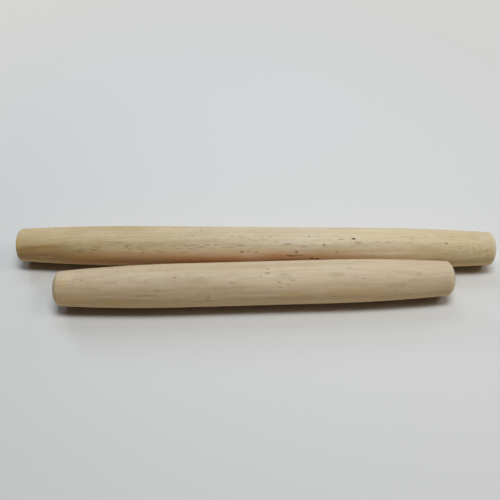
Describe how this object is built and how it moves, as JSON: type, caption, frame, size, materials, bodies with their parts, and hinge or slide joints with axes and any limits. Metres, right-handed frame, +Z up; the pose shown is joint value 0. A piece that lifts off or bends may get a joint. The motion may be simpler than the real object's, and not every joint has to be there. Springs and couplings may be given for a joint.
{
  "type": "french rolling pin pair",
  "caption": "A long and a short one-piece wooden rolling pin lying side by side, each a straight barrel with long gentle tapers to softly crowned ends, for rolling out dough.",
  "frame": {"origin": "middle of the pair's footprint, on the surface that both pins lie on", "axes": "+X along the long pin, -Y towards the short pin in front, +Z up"},
  "size_m": [0.5, 0.0968, 0.0442],
  "materials": {
    "long_pin_wood": "bare turned hardwood, sanded smooth, satin, with fine pore dashes along the pin",
    "short_pin_wood": "bare turned hardwood, sanded smooth, satin, slightly pinker than the long pin"
  },
  "bodies": {
    "long_pin": {"long_pin": "long_pin_wood"},
    "short_pin": {"short_pin": "short_pin_wood"}
  },
  "joints": [
    {"name": "short_pin_away", "type": "slide", "parent": "long_pin", "child": "short_pin", "axis": [0.0436, -0.999, 0], "range_m": [0, 0.15]}
  ]
}
